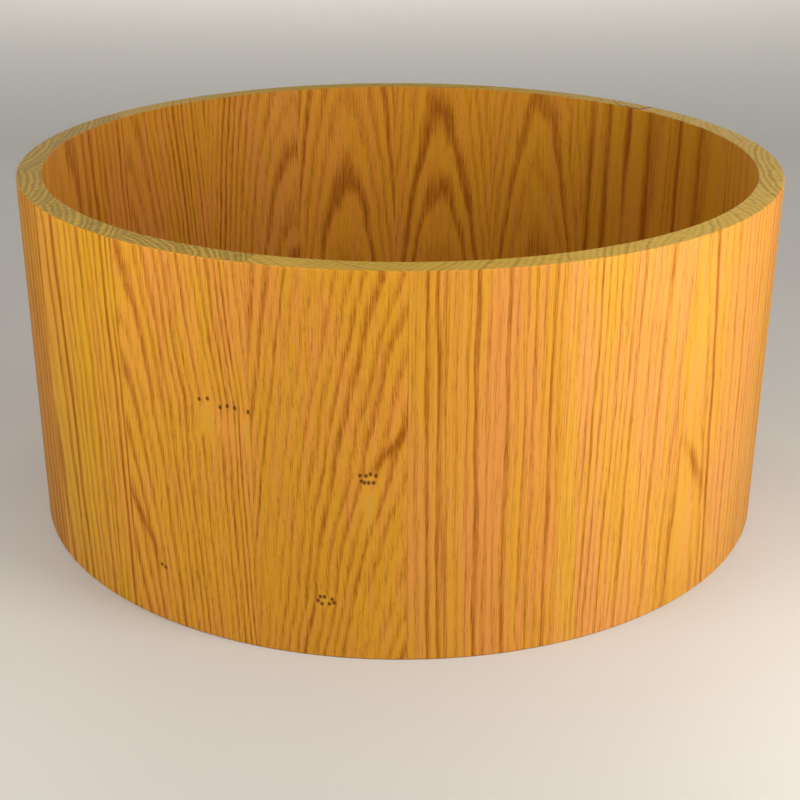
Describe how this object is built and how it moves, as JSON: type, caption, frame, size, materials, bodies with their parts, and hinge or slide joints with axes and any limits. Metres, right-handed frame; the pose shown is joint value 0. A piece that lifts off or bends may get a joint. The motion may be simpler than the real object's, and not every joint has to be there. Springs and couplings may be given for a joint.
{
  "type": "stave drum shell",
  "caption": "Bare drum shell of upright oak staves glued edge to edge and turned round, open at both ends with flat, just-eased rims, ready for drumheads and hoops to slide over it.",
  "frame": {"origin": "on the shell's axis, in the plane of the lower rim", "axes": "+Z along the shell's axis, up; a glue joint stands at -Y, the side that faces the viewer, and the staves are numbered anticlockwise from it, seen from above"},
  "size_m": [0.353, 0.353, 0.165],
  "materials": {
    "oak": "bare red oak, turned and sanded smooth, with open pores and no lacquer",
    "glue": "set wood glue"
  },
  "bodies": {
    "root": {"stave_01": "oak", "stave_02": "oak", "stave_03": "oak", "stave_04": "oak", "stave_05": "oak", "stave_06": "oak", "stave_07": "oak", "stave_08": "oak", "stave_09": "oak", "stave_10": "oak", "stave_11": "oak", "stave_12": "oak", "stave_13": "oak", "stave_14": "oak", "stave_15": "oak", "stave_16": "oak", "stave_17": "oak", "stave_18": "oak", "glue_lines": "glue"}
  },
  "joints": []
}
